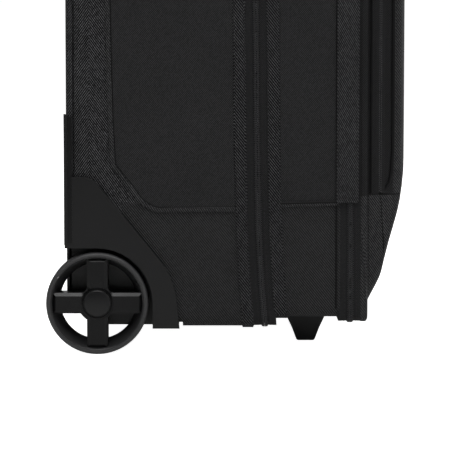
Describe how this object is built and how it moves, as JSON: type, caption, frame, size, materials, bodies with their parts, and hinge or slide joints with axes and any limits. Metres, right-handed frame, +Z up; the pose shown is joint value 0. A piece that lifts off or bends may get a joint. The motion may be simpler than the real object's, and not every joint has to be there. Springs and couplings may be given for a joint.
{
  "type": "rolling laptop case",
  "caption": "Black soft rolling laptop case with a telescopic handle, spoked wheels, a zipped rear compartment, a hinged laptop compartment and a front pocket.",
  "frame": {"origin": "on the floor, under the middle of the case's bounding box", "axes": "+X towards the front pockets, +Y across the case to its right-hand side, +Z up"},
  "size_m": [0.27, 0.379, 0.4496],
  "materials": {
    "ballistic_nylon": "black ballistic twill, woven, matte",
    "smooth_nylon": "black fine nylon, matte with a soft sheen",
    "webbing": "black herringbone webbing",
    "zip_coil": "black nylon coil zip on woven tape",
    "guard_plastic": "black moulded plastic, fine satin grain",
    "wheel_rubber": "black polyurethane tread",
    "hub_plastic": "black moulded nylon, satin",
    "board": "dark grey polyethylene board",
    "anodised_aluminium": "dark anodised, satin",
    "steel": "plain steel",
    "gunmetal": "dark gunmetal plating"
  },
  "bodies": {
    "rear_case": {"axle_left": "steel", "axle_right": "steel", "back_board": "board", "base_tray": "guard_plastic", "guard_screw_left": "steel", "guard_screw_right": "steel", "handle_anchor_left": "guard_plastic", "handle_anchor_right": "guard_plastic", "handle_bezel": "guard_plastic", "outer_tube_left": "anodised_aluminium", "outer_tube_right": "anodised_aluminium", "rear_band": "webbing", "rear_shell": "ballistic_nylon", "rear_zip_back": "zip_coil", "tube_bracket": "steel", "wheel_housing_left": "guard_plastic", "wheel_housing_right": "guard_plastic"},
    "wheel_left": {"tyre_left": "wheel_rubber", "hub_left": "hub_plastic", "wheel_bush_left": "steel", "hub_cap_left": "hub_plastic"},
    "wheel_right": {"tyre_right": "wheel_rubber", "hub_right": "hub_plastic", "wheel_bush_right": "steel", "hub_cap_right": "hub_plastic"},
    "handle_stage_1": {"middle_tube_left": "anodised_aluminium", "middle_tube_right": "anodised_aluminium"},
    "handle_stage_2": {"inner_tube_left": "anodised_aluminium", "inner_tube_right": "anodised_aluminium", "grip_lower": "guard_plastic", "grip_upper": "guard_plastic", "button_spring": "steel"},
    "release": {"release_button": "hub_plastic", "push_rods": "steel"},
    "lock_pin_left": {"lock_pin_left": "steel"},
    "lock_pin_right": {"lock_pin_right": "steel"},
    "carry_handle": {"carry_handle": "webbing"},
    "main_lid": {"mid_shell": "ballistic_nylon", "laptop_pad": "smooth_nylon", "foot_left": "hub_plastic", "foot_right": "hub_plastic", "foot_screw_left": "steel", "foot_screw_right": "steel", "rear_zip_front": "zip_coil", "laptop_zip_back": "zip_coil", "zip_cover_left": "webbing", "zip_cover_right": "webbing"},
    "laptop_lid": {"front_shell": "ballistic_nylon", "front_bumper": "ballistic_nylon", "pocket_gusset": "smooth_nylon", "laptop_zip_front": "zip_coil"},
    "pocket_flap": {"pocket_flap": "smooth_nylon"},
    "rear_slider_left": {"rear_zip_left_slider": "gunmetal"},
    "rear_slider_right": {"rear_zip_right_slider": "gunmetal"},
    "laptop_slider": {"laptop_zip_slider": "gunmetal"},
    "pocket_slider": {"pocket_zip_slider": "gunmetal"},
    "rear_pull_left": {"rear_zip_left_pull": "gunmetal"},
    "rear_pull_right": {"rear_zip_right_pull": "gunmetal"},
    "laptop_pull": {"laptop_zip_pull": "gunmetal"},
    "pocket_pull": {"pocket_zip_pull": "gunmetal"}
  },
  "joints": [
    {"name": "wheel_left_spin", "type": "hinge", "parent": "rear_case", "child": "wheel_left", "pos_m": [-0.0975, -0.178, 0.0375], "axis": [0, 1, 0], "continuous": true},
    {"name": "wheel_right_spin", "type": "hinge", "parent": "rear_case", "child": "wheel_right", "pos_m": [-0.0975, 0.178, 0.0375], "axis": [0, 1, 0], "continuous": true},
    {"name": "handle_stage_1_slide", "type": "slide", "parent": "rear_case", "child": "handle_stage_1", "axis": [0, 0, 1], "range_m": [0, 0.3]},
    {"name": "handle_stage_2_slide", "type": "slide", "parent": "handle_stage_1", "child": "handle_stage_2", "axis": [0, 0, 1], "range_m": [0, 0.3]},
    {"name": "release_press", "type": "slide", "parent": "handle_stage_2", "child": "release", "axis": [0, 0, -1], "range_m": [0, 0.003], "stiffness_N_per_m": 500, "springref_m": -0.002, "deforming": ["button_spring"]},
    {"name": "lock_pin_left_slide", "type": "slide", "parent": "handle_stage_2", "child": "lock_pin_left", "axis": [0, -1, 0], "range_m": [0, 0.0022]},
    {"name": "lock_pin_right_slide", "type": "slide", "parent": "handle_stage_2", "child": "lock_pin_right", "axis": [0, 1, 0], "range_m": [0, 0.0022]},
    {"name": "carry_handle_tilt", "type": "hinge", "parent": "rear_case", "child": "carry_handle", "pos_m": [-0.032, 0, 0.424], "axis": [0, 1, 0], "range_deg": [-50, 50], "stiffness_Nm_per_rad": 0.15},
    {"name": "main_lid_hinge", "type": "hinge", "parent": "rear_case", "child": "main_lid", "pos_m": [0.0215, 0, 0.0207], "axis": [0, 1, 0], "range_deg": [0, 90]},
    {"name": "laptop_lid_hinge", "type": "hinge", "parent": "main_lid", "child": "laptop_lid", "pos_m": [0.0878, 0, 0.0232], "axis": [0, 1, 0], "range_deg": [0, 90]},
    {"name": "pocket_flap_hinge", "type": "hinge", "parent": "laptop_lid", "child": "pocket_flap", "pos_m": [0.1262, 0, 0.117], "axis": [0, 1, 0], "range_deg": [0, 110]},
    {"name": "rear_slider_left_slide", "type": "slide", "parent": "rear_case", "child": "rear_slider_left", "axis": [0, -1, 0], "range_m": [0, 0.11]},
    {"name": "rear_pull_left_hinge", "type": "hinge", "parent": "rear_slider_left", "child": "rear_pull_left", "pos_m": [0.0215, -0.017, 0.4202], "axis": [-1, 0, 0], "range_deg": [0, 105]},
    {"name": "rear_slider_right_slide", "type": "slide", "parent": "rear_case", "child": "rear_slider_right", "axis": [0, 1, 0], "range_m": [0, 0.11]},
    {"name": "rear_pull_right_hinge", "type": "hinge", "parent": "rear_slider_right", "child": "rear_pull_right", "pos_m": [0.0215, 0.017, 0.4202], "axis": [1, 0, 0], "range_deg": [0, 105]},
    {"name": "laptop_slider_slide", "type": "slide", "parent": "main_lid", "child": "laptop_slider", "axis": [0, 1, 0], "range_m": [0, 0.11]},
    {"name": "laptop_pull_hinge", "type": "hinge", "parent": "laptop_slider", "child": "laptop_pull", "pos_m": [0.0878, 0.017, 0.4202], "axis": [1, 0, 0], "range_deg": [0, 105]},
    {"name": "pocket_slider_slide", "type": "slide", "parent": "laptop_lid", "child": "pocket_slider", "axis": [0, 1, 0], "range_m": [0, 0.11]},
    {"name": "pocket_pull_hinge", "type": "hinge", "parent": "pocket_slider", "child": "pocket_pull", "pos_m": [0.1095, 0.017, 0.4062], "axis": [1, 0, 0], "range_deg": [0, 105]}
  ],
  "couplings": [
    {"joint": "lock_pin_left_slide", "follows": "release_press", "ratio": 0.7},
    {"joint": "lock_pin_right_slide", "follows": "release_press", "ratio": 0.7}
  ]
}
